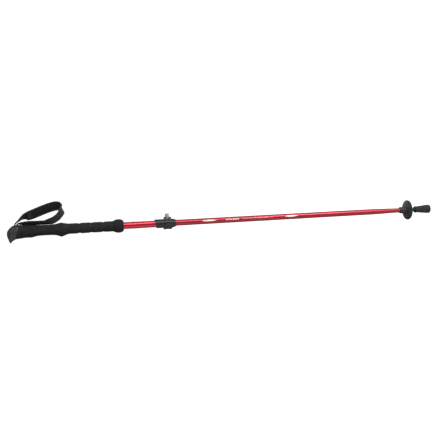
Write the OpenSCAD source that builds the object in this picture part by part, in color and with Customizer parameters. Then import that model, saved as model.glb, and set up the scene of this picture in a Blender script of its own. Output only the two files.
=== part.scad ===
// Two-section adjustable ski pole: foam grip with a wrist strap, lever clamp, basket and rubber foot.
// Millimetres. +Z runs up the pole and the origin is the middle of the foot's bottom face.
// +X is the side where the strap leaves the head, -X is the side of the fingers.
// Heights on the upper section are given as a depth below the top of the head.

/* [Shafts] */
// Height of the top of the head above the foot, as the clamp is set
pole_len = 1173; // [1075:1:1320]
// Outside diameter of the upper tube
upper_d = 18; // [17.5:0.5:19]
// Outside diameter of the lower tube
lower_d = 16; // [15:0.5:16]
// Outside diameter of the lower tube where it enters the tip
neck_d = 13; // [12.5:0.5:14]
// Wall thickness of the lower tube
lower_wall = 0.8; // [0.6:0.1:1]
// Length of the lower tube
lower_len = 929; // [900:1:945]

/* [Grip] */
// Diameter of the foam sleeve below the grip
sleeve_d = 26.8; // [25:0.2:30]
// Diameter of the bulb that ends the sleeve
bulb_d = 35.4; // [32:0.2:40]
// Number of grooves around the sleeve
groove_count = 3; // [1:1:3]
// Depth of each groove
groove_depth = 1.2; // [0.4:0.1:1.6]
// Width of the grip, across the hand
grip_w = 31; // [30:0.5:34]

/* [Strap] */
// Width of the webbing
web_w = 20; // [14:1:20]
// Thickness of the webbing
web_t = 1.8; // [1.2:0.1:1.8]
// Width of the wrist pad
pad_w = 24; // [22:1:28]
// Thickness of the wrist pad
pad_t = 3.6; // [2:0.2:4]

/* [Clamp] */
// Outside diameter of the clamp's collar
collar_d = 23.6; // [23:0.1:24]
// Diameter of the thumb nut
nut_d = 11.4; // [10:0.1:11.6]
// Length of the thumb nut
nut_len = 12.5; // [8:0.5:13]

/* [Tip] */
// Diameter of the basket
basket_d = 57; // [48:1:70]
// Diameter of the rubber foot at its rim
foot_d = 24.6; // [23:0.2:26]
// Height of the rubber foot
foot_len = 46; // [45:0.5:47]

/* [Hidden] */
$fn = 64;
fit = 0.06;            // radial clearance of a turning or sliding fit
seat = 0.03;           // radial clearance of a glued or pressed seat

// Tubes
upper_r = upper_d / 2;
lower_r = lower_d / 2;
neck_r = neck_d / 2;
bore_r = lower_r + 0.25;
upper_top = 31;        // depth of the upper tube's top end
upper_end = 397.8;     // depth of its lower end, inside the clamp
tube_foot = 94.4;      // height of the lower tube's lower end
taper_top = 173;       // height where the lower tube reaches its full diameter
tube_top = tube_foot + lower_len;

// Grip and head: depth, reach to the front, reach to the back, half width
hand_w = grip_w / 2;
HAND = [
    [0.3, 10.0, -2.0, 0.20 * hand_w],
    [1.4, 15.0, 1.0, 0.45 * hand_w],
    [3.2, 19.5, 4.5, 0.66 * hand_w],
    [5.6, 26.2, 7.5, 0.80 * hand_w],
    [8.0, 29.2, 10.0, 0.88 * hand_w],
    [11.0, 26.0, 12.6, 0.93 * hand_w],
    [15.5, 22.4, 15.2, 0.96 * hand_w],
    [22.0, 19.4, 16.6, hand_w],
    [31.0, 18.4, 16.4, hand_w],
    [38.0, 17.6, 15.6, hand_w],
    [46.0, 16.8, 15.0, hand_w],
    [58.0, 17.2, 14.5, hand_w],
    [66.0, 15.6, 14.0, 0.99 * hand_w],
    [76.0, 13.9, 13.4, 0.97 * hand_w],
    [90.0, 13.5, 13.2, 0.95 * hand_w],
    [106.0, 13.7, 13.2, 0.93 * hand_w],
    [118.0, 14.6, 14.0, 0.95 * hand_w],
    [126.0, 17.2, 15.6, 1.04 * hand_w],
    [132.0, 19.2, 16.7, 1.12 * hand_w],
    [138.0, 17.6, 15.6, 1.05 * hand_w],
    [145.0, 15.0, 14.2, 0.95 * hand_w],
    [150.0, 13.6, 13.4, 0.88 * hand_w]
];
hand_sides = 36;
seam_depth = 27;       // depth of the seam between head and foam, on the pole's axis
seam_tilt = 17;        // how far the seam leans, down towards the back
core_r = 10.8;
core_top = 28.6;
core_end = 149.5;
sleeve_top = 150.3;
sleeve_end = 289;
bulb_at = 276;         // depth of the bulb's widest ring
bulb_rise = 14;        // how far above it the bulb starts
bulb_end_r = 10.8;
groove_first = 177;
groove_pitch = 30;
groove_half = 6;

// Strap slot and pin in the head
slot_depth = 22.8;     // depth of the slot's middle
slot_h = 7.2;
slot_back = 2.2;
slot_w = web_w + 2.4;
pin_x = 6;
pin_r = 1.5;
tail_gap = pin_r + 0.1;
tail_x = 13.5;
wedge_r = pin_r - 0.05;
WEDGE = [[8, 0.8], [10, wedge_r], [13.2, wedge_r], [14, 0.85], [15.8, 0.25]];

// Strap route, out of the slot, along the grip, round the fold and back:
// [x, y, depth, twist of its width away from Y, lean of its width along the pole]
STRAP = [
    [17.6, 0, 25.3, 0, 0], [19.1, 0, 28.8, 6, 0], [19.5, 0, 34, 14, 0], [19.5, 0, 42, 22, 0],
    [19.7, -1, 54, 28, 0], [19.2, -2, 70, 30, 0], [19, -3, 84, 29.5, 0], [19.3, -5.5, 97, 31.5, 0],
    [22.2, -11, 110.5, 54, 0], [28.8, -11, 122.8, 61, 0], [36.8, -10, 130.8, 65, -0.1],
    [43.8, -8, 135.2, 73, -0.3], [48.4, -5, 136.8, 82, -0.45], [50.5, 0, 137.4, 90, -0.45],
    [52, 5, 136.6, 92, -0.45], [55.5, 8.5, 133, 92, -0.3], [59, 11, 127, 92, 0],
    [59.6, 13.5, 118, 91, 0], [56, 15, 103, 90, 0], [51, 15, 88, 90, 0], [45.5, 13.5, 73, 88, 0],
    [41, 10, 60, 82, 0], [39, 7, 51, 66, 0], [36.8, 4, 43, 46, 0], [33.6, 2, 37.6, 28, 0],
    [28.6, 0.8, 31.6, 13, 0], [23.8, 0, 26, 4, 0], [20.3, 0, 22, 0, 0], [17.6, 0, 20.3, 0, 0]
];
pad_from = 15.6;       // where the pad starts and ends, in stations of the route
pad_to = 22.4;
pad_out = web_t / 2 + 0.8 + pad_t / 2;
strap_step = 0.2;      // stations between two cross-sections

// Clamp
collar_r = collar_d / 2;
collar_top = 370;
collar_end = 426;
rim_slant = 11;        // how far the collar's upper rim leans
jaw_top = 399.6;
bolt_depth = 406;
bolt_y = 13.8;
bolt_r = 2;
ear_gap = 1;           // half the slit between the ears
ear_y = 18.5;
ear_x = 12.5;          // face of the ear that the nut pulls on
cam_ear_x = -7.5;      // face of the ear that the cam presses on
lever_h = 22;
lever_mid = 406;       // depth of the lever's middle
cam_r = 4.9;
cam_throw = 0.6;
pivot = [cam_ear_x - cam_r - fit, bolt_y];
pivot_r = 1.5;
eye_h = 5.6;
band_r = collar_r + 0.5;
band_bulge = 2.6;
band_from = 160;
band_sweep = 125;
cheek_t = 3.2;
cheek_x = 17.5;
washer_t = 1;
nut_x = ear_x + 0.05 + washer_t + 0.05;

// Tip
ferrule_r = 6.6;
nose_top = 64;
nose_end = 24;
nose_r = 4.2;
foot_r = foot_d / 2;
foot_top_r = 9.1;
foot_floor = 8;
disc_t = 1.5;
holder_r = 2.6;
holder_lip_r = 3.6;
holder_end = 16;
carbide_r = 1.6;
carbide_len = 12.5;
basket_r = basket_d / 2;
hub_top = 94;
hub_end = 60;
hub_r = 9.4;
rim_z = 69.5;
dish_z = 76;
dish_r = 10.4;
dish_t = 2.2;

// ---- helpers ----

module down_from_top(depth) translate([0, 0, pole_len - depth]) children();

module pipe(r_out, r_in, h) difference() {
    cylinder(r = r_out, h = h);
    translate([0, 0, -1]) cylinder(r = r_in, h = h + 2);
}

// A closed solid through rings of equal length, each seen anticlockwise from the end that it moves to.
module loft(rings) {
    n = len(rings[0]);
    m = len(rings);
    polyhedron(
        points = [for (ring = rings) each ring],
        faces = concat(
            [[for (i = [0 : n - 1]) i]],
            [[for (i = [n - 1 : -1 : 0]) (m - 1) * n + i]],
            [for (k = [0 : m - 2], i = [0 : n - 1])
                [k * n + i, (k + 1) * n + i, (k + 1) * n + (i + 1) % n]],
            [for (k = [0 : m - 2], i = [0 : n - 1])
                [k * n + i, (k + 1) * n + (i + 1) % n, k * n + (i + 1) % n]]
        )
    );
}

// One level of the grip: an oval with a front, a back and a half width of its own.
function hand_ring(row) = let (mid = (row[2] - row[1]) / 2, reach = (row[2] + row[1]) / 2) [
    for (i = [0 : hand_sides - 1]) let (a = 360 * i / hand_sides)
        [mid + reach * cos(a), row[3] * sin(a), pole_len - row[0]]
];

module hand_shape() loft([for (i = [len(HAND) - 1 : -1 : 0]) hand_ring(HAND[i])]);

// The half space above the slanted seam between the head and the foam.
module above_seam(shift) down_from_top(seam_depth) rotate([0, seam_tilt, 0])
    translate([-60, -60, shift]) cube([120, 120, 80]);

// A smooth curve through the strap's stations, and the band's cross-section on it.
function mix(a, b, c, d, t) = 0.5 * (2 * b + (c - a) * t + (2 * a - 5 * b + 4 * c - d) * t * t
    + (3 * b - a - 3 * c + d) * t * t * t);
function station(i) = STRAP[max(0, min(len(STRAP) - 1, i))];
function strap_at(t) = let (i = floor(t))
    mix(station(i - 1), station(i), station(i + 1), station(i + 2), t - i);
function point_of(s) = [s[0], s[1], pole_len - s[2]];
function unit(v) = v / norm(v);
function band_ring(t, w, thick, out) = let (
    s = strap_at(t),
    along = unit(point_of(strap_at(t + 0.05)) - point_of(strap_at(t - 0.05))),
    wide = [-sin(s[3]), cos(s[3]), s[4]],
    across = unit(wide - (wide * along) * along),
    inward = cross(along, across),
    p = point_of(s) + out * inward
) [
    p + across * w / 2 + inward * thick / 2,
    p - across * w / 2 + inward * thick / 2,
    p - across * w / 2 - inward * thick / 2,
    p + across * w / 2 - inward * thick / 2
];
module band(from, to, w, thick, out) loft([
    for (i = [0 : round((to - from) / strap_step)]) band_ring(from + i * strap_step, w, thick, out)
]);

// ---- grip ----

module head_cap() color([0.19, 0.21, 0.23]) difference() {
    intersection() {
        hand_shape();
        above_seam(0.05);
    }
    down_from_top(60) cylinder(r = core_r + seat, h = 60 - core_top + 0.3);
    down_from_top(slot_depth) translate([slot_back, -slot_w / 2, -slot_h / 2]) cube([30, slot_w, slot_h]);
    down_from_top(slot_depth) translate([pin_x, 0, 0]) rotate([90, 0, 0])
        cylinder(r = pin_r + seat, h = 60, center = true);
}

module foam_grip() color([0.15, 0.15, 0.15]) difference() {
    hand_shape();
    above_seam(-0.05);
    down_from_top(160) cylinder(r = core_r + seat, h = 160);
}

module grip_core() color("dimgray") down_from_top(core_end) difference() {
    cylinder(r = core_r, h = core_end - core_top);
    translate([0, 0, -1]) cylinder(r = upper_r + seat, h = core_end - upper_top + 1.1);
}

// Radius of the foam sleeve: plain with soft grooves, then the bulb.
function groove(d) = abs(d) < groove_half ? groove_depth * pow(cos(90 * d / groove_half), 2) : 0;
function sleeve_r(depth) = depth > bulb_at
    ? bulb_end_r
        + (bulb_d / 2 - bulb_end_r) * sqrt(1 - pow((depth - bulb_at) / (sleeve_end - bulb_at + 0.4), 2))
    : depth > bulb_at - bulb_rise
    ? sleeve_d / 2 + (bulb_d - sleeve_d) / 2 * sin(90 * (depth - bulb_at + bulb_rise) / bulb_rise)
    : sleeve_d / 2
        - max([for (i = [0 : groove_count - 1]) groove(depth - groove_first - i * groove_pitch)]);

module foam_sleeve() color([0.15, 0.15, 0.15]) translate([0, 0, pole_len]) rotate_extrude()
    polygon(concat(
        [[upper_r + seat, -sleeve_top], [sleeve_d / 2 - 1, -sleeve_top]],
        [for (depth = [sleeve_top + 1 : 2 : sleeve_end]) [sleeve_r(depth), -depth]],
        [[upper_r + seat, -sleeve_end]]
    ));

module upper_tube() color("crimson") down_from_top(upper_end) pipe(upper_r, bore_r, upper_end - upper_top);

// ---- strap ----

module strap_pin() color("silver") down_from_top(slot_depth) translate([pin_x, 0, 0])
    rotate([90, 0, 0]) cylinder(r = pin_r, h = grip_w - 2.6, center = true);

// The webbing inside the head, once round the pin.
module strap_tail() color([0.08, 0.08, 0.08]) down_from_top(slot_depth) translate([pin_x, 0, 0]) {
    rotate([90, 0, 0]) linear_extrude(height = web_w, center = true) {
        difference() {
            circle(r = tail_gap + web_t);
            circle(r = tail_gap);
            translate([0, -10]) square([20, 20]);
        }
        for (side = [-1, 1])
            translate([0, side > 0 ? tail_gap : -tail_gap - web_t]) square([tail_x - pin_x, web_t]);
    }
}

// The wedge that holds the strands apart, thin at its outer edge so that the swinging strap clears it.
module strap_wedge() color([0.16, 0.17, 0.18]) down_from_top(slot_depth) rotate([90, 0, 0])
    linear_extrude(height = web_w - 1, center = true)
        polygon(concat(WEDGE, [for (i = [len(WEDGE) - 1 : -1 : 0]) [WEDGE[i][0], -WEDGE[i][1]]]));

module strap_webbing() color([0.10, 0.10, 0.11]) band(0, len(STRAP) - 1, web_w, web_t, 0);

module strap_pad() color([0.13, 0.14, 0.16]) band(pad_from, pad_to, pad_w, pad_t, pad_out);

// ---- clamp ----

module along_x(x) down_from_top(bolt_depth) translate([x, bolt_y, 0]) rotate([0, 90, 0]) children();
module at_pivot(depth) down_from_top(depth) translate([pivot[0], pivot[1], 0]) children();

module clamp_ears() {
    ear_low = lever_mid + lever_h / 2 - 2;
    ear_high = jaw_top + 1.2;
    down_from_top(ear_low) {
        translate([cam_ear_x, lower_r + 0.5, 0])
            cube([-cam_ear_x - ear_gap, ear_y - lower_r - 0.5, ear_low - ear_high]);
        translate([ear_gap, lower_r + 0.5, 0])
            cube([ear_x - ear_gap, ear_y - lower_r - 0.5, ear_low - ear_high]);
    }
    for (side = [-1, 1])
        down_from_top(bolt_depth) translate([0, 0, side * (nut_d / 2 + 0.35 + cheek_t / 2)])
            rotate([90, 0, 0]) translate([0, 0, -ear_y]) linear_extrude(height = ear_y - 6)
                polygon([[6, -cheek_t / 2], [cheek_x - 1.5, -cheek_t / 2], [cheek_x, 0],
                    [cheek_x - 0.5, cheek_t / 2], [6, cheek_t / 2]]);
}

module clamp_collar() color([0.17, 0.18, 0.19]) difference() {
    union() {
        down_from_top(collar_end) {
            cylinder(r1 = collar_r - 2.2, r2 = collar_r, h = 7);
            translate([0, 0, 7]) cylinder(r = collar_r, h = collar_end - collar_top - 7);
        }
        clamp_ears();
    }
    down_from_top(collar_top) translate([collar_r + 0.5, 0, 0]) rotate([0, -rim_slant, 0])
        translate([-50, -25, 0]) cube([60, 50, 20]);
    down_from_top(upper_end) cylinder(r = upper_r + seat, h = 60);
    down_from_top(collar_end + 1) cylinder(r = lower_r + fit, h = collar_end - jaw_top + 1);
    down_from_top(jaw_top + 1) cylinder(r = lower_r + 0.3, h = 10);
    down_from_top(collar_end + 1) translate([-ear_gap, 0, 0])
        cube([2 * ear_gap, 30, collar_end - jaw_top + 1]);
    down_from_top(jaw_top + 1.2) translate([-20, 1, 0]) cube([40, 30, 1.2]);
    along_x(-20) cylinder(r = bolt_r + 0.1, h = 60);
}

module clamp_lever() color([0.15, 0.16, 0.17]) difference() {
    union() {
        down_from_top(lever_mid) rotate([0, 0, band_from]) rotate_extrude(angle = band_sweep)
            polygon(concat(
                [[band_r, -lever_h / 2], [band_r, lever_h / 2]],
                [for (a = [80 : -10 : -80])
                    [band_r + 0.5 + (band_bulge - 0.5) * cos(a), lever_h / 2 * sin(a)]]
            ));
        at_pivot(lever_mid + lever_h / 2) translate([cam_throw, 0, 0])
            cylinder(r = cam_r - cam_throw, h = lever_h);
        down_from_top(lever_mid + lever_h / 2 - 0.5) linear_extrude(height = lever_h - 1) hull() {
            translate(pivot) circle(r = cam_r - cam_throw - 0.3, $fn = 32);
            rotate(band_from + 6) translate([band_r + 1.3, 0]) circle(r = 0.9, $fn = 32);
        }
    }
    at_pivot(lever_mid + lever_h) cylinder(r = pivot_r + fit, h = 2 * lever_h);
    at_pivot(bolt_depth + eye_h / 2 + 0.3) cylinder(r = cam_r + 0.2, h = eye_h + 0.6);
}

module lever_pin() color("silver") at_pivot(lever_mid + lever_h / 2 - 0.3)
    cylinder(r = pivot_r, h = lever_h - 0.6);

module tension_bolt() color("silver") difference() {
    union() {
        at_pivot(bolt_depth + eye_h / 2) cylinder(r = 3.4, h = eye_h);
        along_x(pivot[0]) cylinder(r = bolt_r, h = nut_x + nut_len - 1.2 - pivot[0]);
    }
    at_pivot(bolt_depth + eye_h) cylinder(r = pivot_r + fit, h = 2 * eye_h);
}

module bolt_washer() color("gray") along_x(ear_x + 0.05) pipe(4.9, bolt_r + 0.1, washer_t);

module thumb_nut() color("silver") along_x(nut_x) difference() {
    union() {
        linear_extrude(height = nut_len - 1) difference() {
            circle(r = nut_d / 2);
            for (i = [0 : 23])
                rotate(15 * i) translate([nut_d / 2 - 0.35, -0.3]) square([1, 0.6]);
        }
        translate([0, 0, nut_len - 1]) cylinder(r1 = nut_d / 2 - 0.4, r2 = nut_d / 2 - 1.3, h = 1);
    }
    translate([0, 0, -1]) cylinder(r = bolt_r + fit, h = nut_len + 2);
}

// ---- lower section ----

module shaft_plug() color("dimgray") {
    translate([0, 0, tube_top - 15]) cylinder(r = lower_r - lower_wall - fit, h = 15.5);
    translate([0, 0, tube_top + 0.05]) cylinder(r = bore_r - fit, h = 11);
    translate([0, 0, tube_top + 11.05]) cylinder(r1 = bore_r - fit, r2 = bore_r - 1.5, h = 1);
}

module lower_tube() color("firebrick") rotate_extrude() polygon([
    [neck_r, tube_foot], [neck_r, 100], [lower_r, taper_top], [lower_r, tube_top],
    [lower_r - lower_wall, tube_top], [lower_r - lower_wall, taper_top],
    [neck_r - lower_wall, 100], [neck_r - lower_wall, tube_foot]
]);

module tip_ferrule() color([0.12, 0.12, 0.13]) difference() {
    union() {
        translate([0, 0, tube_foot - 1]) cylinder(r = neck_r - lower_wall - seat, h = 4.9);
        translate([0, 0, nose_top]) cylinder(r = ferrule_r, h = tube_foot - nose_top - 0.05);
        translate([0, 0, nose_end]) cylinder(r1 = nose_r, r2 = ferrule_r, h = nose_top - nose_end);
    }
    translate([0, 0, nose_end - 1]) cylinder(r = holder_r + seat, h = 22);
}

module tip_holder() color("gray") difference() {
    union() {
        translate([0, 0, holder_end + 4]) cylinder(r = holder_r, h = nose_end);
        translate([0, 0, holder_end])
            cylinder(r1 = holder_r, r2 = holder_lip_r, h = nose_end - holder_end - 0.05);
    }
    translate([0, 0, holder_end - 1]) cylinder(r = carbide_r + seat, h = 8);
}

module carbide_tip() color("lightgray") difference() {
    translate([0, 0, foot_floor + disc_t + 0.5]) cylinder(r = carbide_r, h = carbide_len);
    translate([0, 0, foot_floor + disc_t]) cylinder(r1 = carbide_r - 0.3, r2 = 0.1, h = 1.2);
}

function dish(r) = rim_z + (dish_z - rim_z) * (1 - pow((r - dish_r) / (basket_r - dish_r), 1.5));
dish_steps = 10;
DISH = [for (i = [0 : dish_steps]) dish_r + (basket_r - 1 - dish_r) * i / dish_steps];

module basket() color([0.13, 0.13, 0.14]) difference() {
    rotate_extrude() polygon(concat(
        [[ferrule_r + fit, hub_end], [ferrule_r + fit, hub_top], [hub_r - 0.4, hub_top],
            [hub_r, hub_top - 0.6], [hub_r, dish_z + 3.6]],
        [for (r = DISH) [r + 0.4, dish(r) + dish_t / 2]],
        [[basket_r, rim_z + 1.2], [basket_r, rim_z - 1.6], [basket_r - 1.4, rim_z - 2]],
        [for (i = [dish_steps : -1 : 0]) [DISH[i] - 0.4, dish(DISH[i]) - dish_t / 2]],
        [[hub_r, dish_z - 3], [hub_r - 0.7, hub_end]]
    ));
}

// Outline of the foot: rounded rim, a short straight band, then a slow taper up to the lip.
function nose_at(z) = nose_r + (ferrule_r - nose_r) * (z - nose_end) / (nose_top - nose_end);
module rubber_foot() color([0.11, 0.11, 0.12]) rotate_extrude() polygon(concat(
    [[0, 0], [foot_r - 2, 0]],
    [for (a = [-60 : 30 : 0]) [foot_r - 2 + 2 * cos(a), 2 + 2 * sin(a)]],
    [[foot_r, 7], [foot_r - 0.7, 15], [foot_top_r + 0.8, 31], [foot_top_r, foot_len - 4.5],
        [foot_top_r + 0.6, foot_len - 3.5], [foot_top_r + 0.6, foot_len - 1], [foot_top_r, foot_len]],
    [[nose_at(foot_len) + 0.1, foot_len], [nose_r + 0.1, nose_end], [nose_r + 0.1, foot_floor],
        [0, foot_floor]]
));

module foot_disc() color("silver") translate([0, 0, foot_floor + 0.05])
    cylinder(r = nose_r + 0.05, h = disc_t);

head_cap();
foam_grip();
grip_core();
foam_sleeve();
upper_tube();
strap_pin();
strap_tail();
strap_wedge();
strap_webbing();
strap_pad();
clamp_collar();
clamp_lever();
lever_pin();
tension_bolt();
bolt_washer();
thumb_nut();
shaft_plug();
lower_tube();
tip_ferrule();
tip_holder();
carbide_tip();
basket();
rubber_foot();
foot_disc();
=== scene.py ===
"""Looks of the adjustable ski pole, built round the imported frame. Metres; MM turns millimetres into them."""

import math

import bmesh
import bpy
from mathutils import Matrix, Vector


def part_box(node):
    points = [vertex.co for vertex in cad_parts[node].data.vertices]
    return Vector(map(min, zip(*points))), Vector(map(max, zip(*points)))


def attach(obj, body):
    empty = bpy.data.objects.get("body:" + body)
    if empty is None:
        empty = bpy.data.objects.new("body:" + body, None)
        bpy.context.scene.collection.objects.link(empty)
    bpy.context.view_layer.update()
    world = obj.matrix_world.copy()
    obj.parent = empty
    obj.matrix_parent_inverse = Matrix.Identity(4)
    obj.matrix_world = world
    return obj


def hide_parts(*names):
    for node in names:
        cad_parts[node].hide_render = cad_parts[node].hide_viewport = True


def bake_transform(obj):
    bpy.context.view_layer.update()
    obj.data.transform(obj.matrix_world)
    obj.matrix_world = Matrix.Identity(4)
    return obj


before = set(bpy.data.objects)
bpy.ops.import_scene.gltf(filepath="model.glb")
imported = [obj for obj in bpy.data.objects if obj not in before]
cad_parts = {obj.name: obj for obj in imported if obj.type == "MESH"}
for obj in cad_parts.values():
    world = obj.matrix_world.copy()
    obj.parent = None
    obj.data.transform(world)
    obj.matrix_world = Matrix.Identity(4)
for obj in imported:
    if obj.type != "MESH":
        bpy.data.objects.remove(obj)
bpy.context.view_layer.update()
MM = 0.001
TAU = 2 * math.pi

# ---- places, from the frame ----

HEAD_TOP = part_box("head_cap")[1].z
SLEEVE_LOW, SLEEVE_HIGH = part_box("foam_sleeve")
COLLAR_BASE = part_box("clamp_collar")[0].z
BASKET_LOW, BASKET_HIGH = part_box("basket")
FOOT_LOW, FOOT_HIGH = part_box("rubber_foot")
PIN_LOW, PIN_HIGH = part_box("strap_pin")
SLOT_Z = (PIN_LOW.z + PIN_HIGH.z) / 2
PIN_X = (PIN_LOW.x + PIN_HIGH.x) / 2
UPPER_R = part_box("upper_tube")[1].x
COLLAR_R = 11.8 * MM
LOWER_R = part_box("lower_tube")[1].x
BASKET_R = BASKET_HIGH.x
FOOT_R = FOOT_HIGH.x

# ---- the grip and the strap, as the frame has them: millimetres, depths below the top of the head ----

# Depth, reach to the front, reach to the back, half width as a share of the widest
HAND = [
    (0.3, 10, -2, 0.2), (1.4, 15, 1, 0.45), (3.2, 19.5, 4.5, 0.66), (5.6, 26.2, 7.5, 0.8),
    (8, 29.2, 10, 0.88), (11, 26, 12.6, 0.93), (15.5, 22.4, 15.2, 0.96), (22, 19.4, 16.6, 1),
    (31, 18.4, 16.4, 1), (38, 17.6, 15.6, 1), (46, 16.8, 15, 1), (58, 17.2, 14.5, 1),
    (66, 15.6, 14, 0.99), (76, 13.9, 13.4, 0.97), (90, 13.5, 13.2, 0.95), (106, 13.7, 13.2, 0.93),
    (118, 14.6, 14, 0.95), (126, 17.2, 15.6, 1.04), (132, 19.2, 16.7, 1.12), (138, 17.6, 15.6, 1.05),
    (145, 15, 14.2, 0.95), (150, 13.6, 13.4, 0.88),
]
HAND_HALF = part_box("foam_grip")[1].y / max(row[3] for row in HAND)
SEAM_DEPTH = 27
SEAM_TILT = math.radians(17)

# The strap's middle line and the turn of its width: x, y, depth, twist in degrees, lean along the pole
STRAP = [
    (17.6, 0, 25.3, 0, 0), (19.1, 0, 28.8, 6, 0), (19.5, 0, 34, 14, 0), (19.5, 0, 42, 22, 0),
    (19.7, -1, 54, 28, 0), (19.2, -2, 70, 30, 0), (19, -3, 84, 29.5, 0), (19.3, -5.5, 97, 31.5, 0),
    (22.2, -11, 110.5, 54, 0), (28.8, -11, 122.8, 61, 0), (36.8, -10, 130.8, 65, -0.1),
    (43.8, -8, 135.2, 73, -0.3), (48.4, -5, 136.8, 82, -0.45), (50.5, 0, 137.4, 90, -0.45),
    (52, 5, 136.6, 92, -0.45), (55.5, 8.5, 133, 92, -0.3), (59, 11, 127, 92, 0),
    (59.6, 13.5, 118, 91, 0), (56, 15, 103, 90, 0), (51, 15, 88, 90, 0), (45.5, 13.5, 73, 88, 0),
    (41, 10, 60, 82, 0), (39, 7, 51, 66, 0), (36.8, 4, 43, 46, 0), (33.6, 2, 37.6, 28, 0),
    (28.6, 0.8, 31.6, 13, 0), (23.8, 0, 26, 4, 0), (20.3, 0, 22, 0, 0), (17.6, 0, 20.3, 0, 0),
]
WEB_WIDTH = 20
WEB_THICK = 1.8
PAD_WIDTH = 24
PAD_THICK = 3.6
PAD_FROM = 15.6
PAD_TO = 22.4


def z_at(depth):
    """Height in the frame of a depth, in millimetres, below the top of the head."""
    return HEAD_TOP + (HAND[0][0] - depth) * MM


# ---- building materials ----

class Look:
    """A material being made: its node tree, its shader, and the texture nodes that vary it."""

    def __init__(self, name, color, roughness, **sockets):
        self.material = bpy.data.materials.new(name)
        self.material.use_nodes = True
        self.tree = self.material.node_tree
        self.shader = self.tree.nodes["Principled BSDF"]
        self.color = color
        self.set(Base_Color=(*color, 1), Roughness=roughness, **sockets)
        self.material.diffuse_color = (*color, 1)

    def set(self, **sockets):
        for name, value in sockets.items():
            self.shader.inputs[name.replace("_", " ")].default_value = value

    def node(self, kind, **inputs):
        made = self.tree.nodes.new("ShaderNode" + kind)
        for name, value in inputs.items():
            socket = made.inputs[name.replace("_", " ")]
            if isinstance(value, bpy.types.NodeSocket):
                self.tree.links.new(value, socket)
            else:
                socket.default_value = value
        return made

    def place(self, stretch=(1, 1, 1)):
        """Points of the part's own frame, stretched."""
        source = self.node("TexCoord").outputs["Object"]
        return self.node("Mapping", Vector=source, Scale=stretch).outputs["Vector"]

    def attribute(self, name):
        found = self.node("Attribute")
        found.attribute_name = name
        return found.outputs["Vector"]

    def noise(self, where, size, detail=4.0, rough=0.55):
        """Soft noise whose blotches are about size metres across."""
        made = self.node("TexNoise", Vector=where, Scale=1 / size, Detail=detail, Roughness=rough)
        return made.outputs["Fac"]

    def cells(self, where, size):
        """Distance from the middle of the nearest cell, for pores and grains."""
        return self.node("TexVoronoi", Vector=where, Scale=1 / size).outputs["Distance"]

    def math(self, operation, a, b=0.0, c=0.0):
        made = self.tree.nodes.new("ShaderNodeMath")
        made.operation = operation
        for socket, value in zip(made.inputs, (a, b, c)):
            if isinstance(value, bpy.types.NodeSocket):
                self.tree.links.new(value, socket)
            else:
                socket.default_value = value
        return made.outputs[0]

    def spread(self, value, low, high, to_low=0.0, to_high=1.0):
        """value from low..high, mapped to to_low..to_high and held at the ends."""
        made = self.node("MapRange", Value=value)
        for name, number in (("From Min", low), ("From Max", high), ("To Min", to_low), ("To Max", to_high)):
            made.inputs[name].default_value = number
        return made.outputs["Result"]

    def tint(self, amount, color):
        """Lays color over what the base colour is so far, by amount."""
        base = self.shader.inputs["Base Color"]
        made = self.tree.nodes.new("ShaderNodeMix")
        made.data_type = "RGBA"
        self.tree.links.new(amount, made.inputs["Factor"])
        if base.is_linked:
            self.tree.links.new(base.links[0].from_socket, made.inputs["A"])
        else:
            made.inputs["A"].default_value = base.default_value
        made.inputs["B"].default_value = (*color, 1)
        self.tree.links.new(made.outputs["Result"], base)

    def roughen(self, value):
        self.tree.links.new(value, self.shader.inputs["Roughness"])

    def bump(self, height, depth, strength=1.0):
        """Adds relief of about depth metres on top of the relief so far."""
        normal = self.shader.inputs["Normal"]
        made = self.node("Bump", Height=height, Distance=depth, Strength=strength)
        if normal.is_linked:
            self.tree.links.new(normal.links[0].from_socket, made.inputs["Normal"])
        self.tree.links.new(made.outputs["Normal"], normal)

    def edges(self, low=0.52, high=0.62):
        """Where the surface stands out sharply, as a moulding's edges do."""
        return self.spread(self.node("NewGeometry").outputs["Pointiness"], low, high)


def foam_look():
    look = Look("foam", (0.013, 0.013, 0.0135), 0.88, Specular_IOR_Level=0.22)
    place = look.place()
    pores = look.cells(place, 0.7 * MM)
    grain = look.noise(place, 0.35 * MM, 3.0)
    patches = look.noise(place, 16 * MM, 3.0)
    # Painted shade: the pores, which the bump below sinks, are painted darker as shade in them.
    look.tint(look.spread(pores, 0.1, 0.5, 0.55, 0.0), (0.005, 0.005, 0.0055))
    look.tint(look.spread(patches, 0.4, 0.75, 0.0, 0.45), (0.024, 0.024, 0.025))
    look.roughen(look.spread(patches, 0.3, 0.7, 0.93, 0.78))
    look.bump(pores, 0.10 * MM, 0.7)
    look.bump(grain, 0.06 * MM, 0.6)
    return look.material


def head_look():
    look = Look("head_plastic", (0.026, 0.030, 0.035), 0.46, Specular_IOR_Level=0.4)
    place = look.place()
    leather = look.cells(place, 1.1 * MM)
    cloud = look.noise(place, 12 * MM)
    look.tint(look.spread(cloud, 0.35, 0.7, 0.0, 0.5), (0.034, 0.039, 0.044))
    look.tint(look.math("MULTIPLY", look.edges(), 0.5), (0.075, 0.08, 0.09))
    look.roughen(look.spread(cloud, 0.3, 0.7, 0.36, 0.5))
    look.bump(leather, 0.05 * MM, 0.6)
    return look.material


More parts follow.
